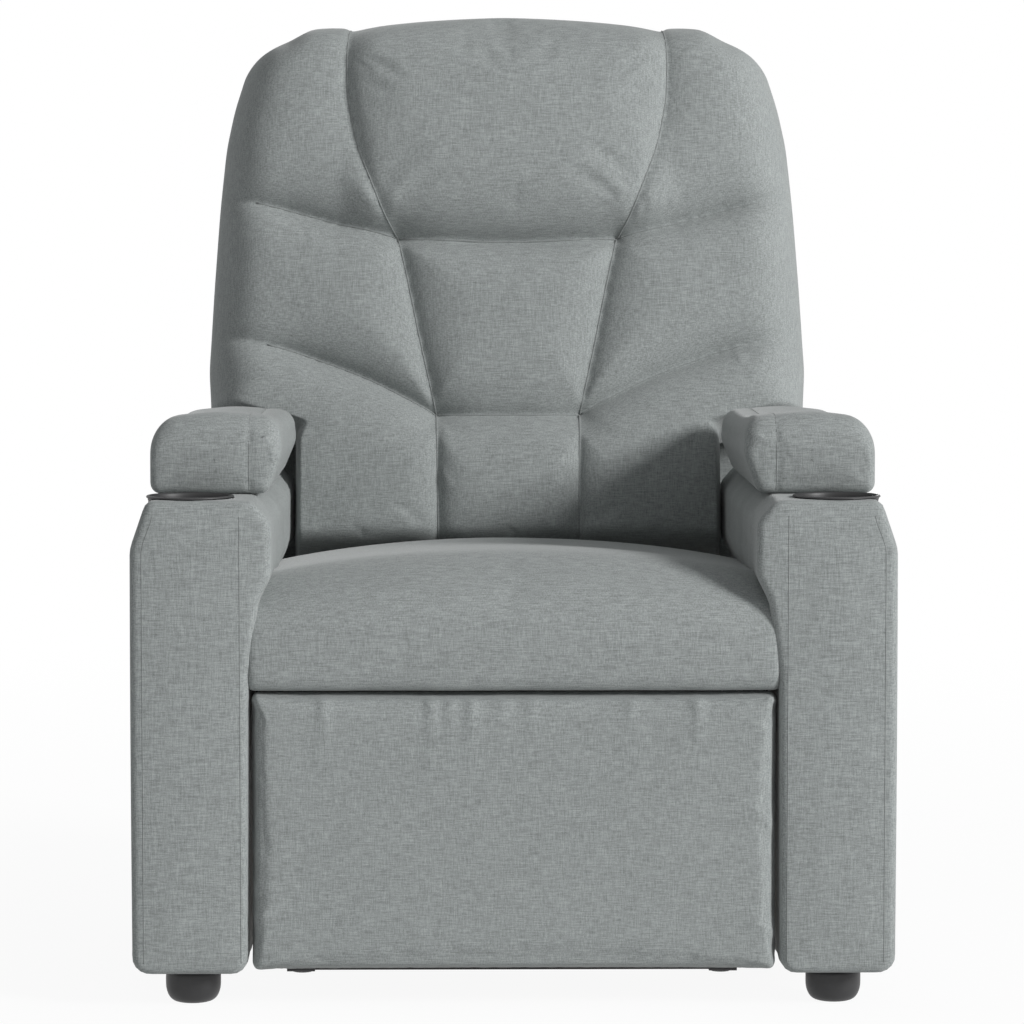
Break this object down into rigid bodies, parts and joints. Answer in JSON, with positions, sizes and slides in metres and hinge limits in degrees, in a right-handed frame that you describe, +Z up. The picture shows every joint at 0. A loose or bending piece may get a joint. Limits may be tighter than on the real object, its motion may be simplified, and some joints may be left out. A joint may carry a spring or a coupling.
{
  "type": "lift recliner chair",
  "caption": "Upholstered power lift recliner: padded back with wings, crowned seat, arms with cup holders, swing-out footrest and a linkage base that raises and tips it.",
  "frame": {"origin": "on the floor, in the middle of the footprint, chair upright with its footrest down", "axes": "+Z up, the sitter faces -Y, +X is on the right of someone who looks at the front"},
  "size_m": [0.802, 0.8669, 1.0543],
  "materials": {
    "fabric": "light grey linen-like weave",
    "frame_steel": "black powder coat",
    "link_steel": "dark grey coat on flat steel bars",
    "bright_steel": "zinc plated pins and rods",
    "spring_wire": "oiled spring wire",
    "timber": "planed softwood rails and plywood",
    "black_plastic": "fine-grained black moulding",
    "button": "smooth light grey"
  },
  "bodies": {
    "base": {"base_runners": "frame_steel", "base_front_rail": "frame_steel", "base_motor_rail": "frame_steel", "base_brackets": "frame_steel", "base_glides": "black_plastic", "base_pins": "bright_steel"},
    "lift_arms": {"lift_links": "link_steel", "lift_torque_tube": "link_steel"},
    "control_arms": {"control_links": "link_steel"},
    "lift_drive": {"lift_motor": "black_plastic", "lift_drive_tube": "black_plastic"},
    "lift_drive_rod": {"lift_rod": "bright_steel"},
    "chassis": {"side_plates": "frame_steel", "chassis_pins": "bright_steel", "chassis_front_tube": "frame_steel", "chassis_rear_tube": "frame_steel", "seat_front_rail": "timber", "seat_rear_rail": "timber", "seat_springs": "spring_wire", "seat_cushion": "fabric", "arm_left": "fabric", "arm_right": "fabric", "arm_front_left": "fabric", "arm_front_right": "fabric", "arm_pad_left": "fabric", "arm_pad_right": "fabric", "cup_holder_left": "black_plastic", "cup_holder_right": "black_plastic", "feet": "black_plastic", "control_box": "black_plastic", "side_pocket": "fabric", "handset": "black_plastic"},
    "up_button": {"button_up": "button"},
    "down_button": {"button_down": "button"},
    "recline_button": {"button_recline": "button"},
    "upright_button": {"button_upright": "button"},
    "recline_drive": {"recline_motor": "black_plastic", "recline_drive_tube": "black_plastic"},
    "recline_drive_rod": {"recline_rod": "bright_steel"},
    "back": {"back_stiles": "frame_steel", "back_top_rail": "timber", "back_lower_rail": "frame_steel", "back_springs": "spring_wire", "back_cover": "fabric", "head_pillow": "fabric", "shoulder_left": "fabric", "shoulder_right": "fabric", "wing_left": "fabric", "wing_right": "fabric", "centre_panel": "fabric", "lumbar_centre": "fabric", "lumbar_left": "fabric", "lumbar_right": "fabric"},
    "footrest_long_arms": {"long_links": "link_steel"},
    "footrest_upper_arms": {"upper_links": "link_steel"},
    "footrest_parallel_arms": {"parallel_links": "link_steel"},
    "footrest_rear_arms": {"rear_links": "link_steel"},
    "footrest": {"footrest_board": "timber", "footrest_panel": "fabric"}
  },
  "joints": [
    {"name": "lift", "type": "hinge", "parent": "base", "child": "lift_arms", "pos_m": [0, -0.13203, 0.205], "axis": [1, 0, 0], "range_deg": [0, 60]},
    {"name": "lift_tilt", "type": "hinge", "parent": "lift_arms", "child": "chassis", "pos_m": [0, 0.20757, 0.12033], "axis": [1, 0, 0], "range_deg": [-36.15, 0]},
    {"name": "lift_control", "type": "hinge", "parent": "base", "child": "control_arms", "pos_m": [0, -0.19033, 0.1907], "axis": [1, 0, 0], "range_deg": [0, 67.67]},
    {"name": "lift_drive_swing", "type": "hinge", "parent": "base", "child": "lift_drive", "pos_m": [0, 0.16797, 0.13], "axis": [1, 0, 0], "range_deg": [0, 5.83]},
    {"name": "lift_drive_stroke", "type": "slide", "parent": "lift_drive", "child": "lift_drive_rod", "axis": [0, -0.8932, 0.4497], "range_m": [0, 0.05535]},
    {"name": "recline", "type": "hinge", "parent": "chassis", "child": "back", "pos_m": [0, 0.22297, 0.35], "axis": [-1, 0, 0], "range_deg": [0, 45]},
    {"name": "recline_drive_swing", "type": "hinge", "parent": "chassis", "child": "recline_drive", "pos_m": [0, -0.19703, 0.29], "axis": [-1, 0, 0], "range_deg": [-2.3, 0]},
    {"name": "recline_drive_stroke", "type": "slide", "parent": "recline_drive", "child": "recline_drive_rod", "axis": [0, 0.9978, -0.0658], "range_m": [-0.06317, 0]},
    {"name": "footrest", "type": "hinge", "parent": "chassis", "child": "footrest_long_arms", "pos_m": [0, -0.32503, 0.283], "axis": [-1, 0, 0], "range_deg": [0, 82]},
    {"name": "footrest_upper", "type": "hinge", "parent": "footrest_long_arms", "child": "footrest_upper_arms", "pos_m": [0, -0.27068, 0.08016], "axis": [-1, 0, 0], "range_deg": [-98.53, 0]},
    {"name": "footrest_parallel", "type": "hinge", "parent": "footrest_long_arms", "child": "footrest_parallel_arms", "pos_m": [0, -0.2837, 0.04233], "axis": [-1, 0, 0], "range_deg": [-98.53, 0]},
    {"name": "footrest_rear", "type": "hinge", "parent": "chassis", "child": "footrest_rear_arms", "pos_m": [0, -0.30203, 0.3365], "axis": [-1, 0, 0], "range_deg": [0, 77.99]},
    {"name": "footrest_turn", "type": "hinge", "parent": "footrest_upper_arms", "child": "footrest", "pos_m": [0, -0.34298, 0.2591], "axis": [-1, 0, 0], "range_deg": [0, 98.53]},
    {"name": "press_up", "type": "slide", "parent": "chassis", "child": "up_button", "axis": [-1, 0, 0], "range_m": [0, 0.0015], "stiffness_N_per_m": 600},
    {"name": "press_down", "type": "slide", "parent": "chassis", "child": "down_button", "axis": [-1, 0, 0], "range_m": [0, 0.0015], "stiffness_N_per_m": 600},
    {"name": "press_recline", "type": "slide", "parent": "chassis", "child": "recline_button", "axis": [-1, 0, 0], "range_m": [0, 0.0015], "stiffness_N_per_m": 600},
    {"name": "press_upright", "type": "slide", "parent": "chassis", "child": "upright_button", "axis": [-1, 0, 0], "range_m": [0, 0.0015], "stiffness_N_per_m": 600}
  ],
  "couplings": [
    {"joint": "lift_tilt", "follows": "lift", "ratio": -0.60164},
    {"joint": "lift_control", "follows": "lift", "ratio": 1.1269},
    {"joint": "lift_drive_swing", "follows": "lift", "ratio": 0.096324},
    {"joint": "lift_drive_stroke", "follows": "lift", "m_per_rad": 0.052759},
    {"joint": "recline_drive_swing", "follows": "recline", "ratio": -0.049983},
    {"joint": "recline_drive_stroke", "follows": "recline", "m_per_rad": -0.080308},
    {"joint": "footrest_upper", "follows": "footrest", "ratio": -1.2009},
    {"joint": "footrest_parallel", "follows": "footrest", "ratio": -1.2009},
    {"joint": "footrest_rear", "follows": "footrest", "ratio": 0.95045},
    {"joint": "footrest_turn", "follows": "footrest", "ratio": 1.2009}
  ]
}
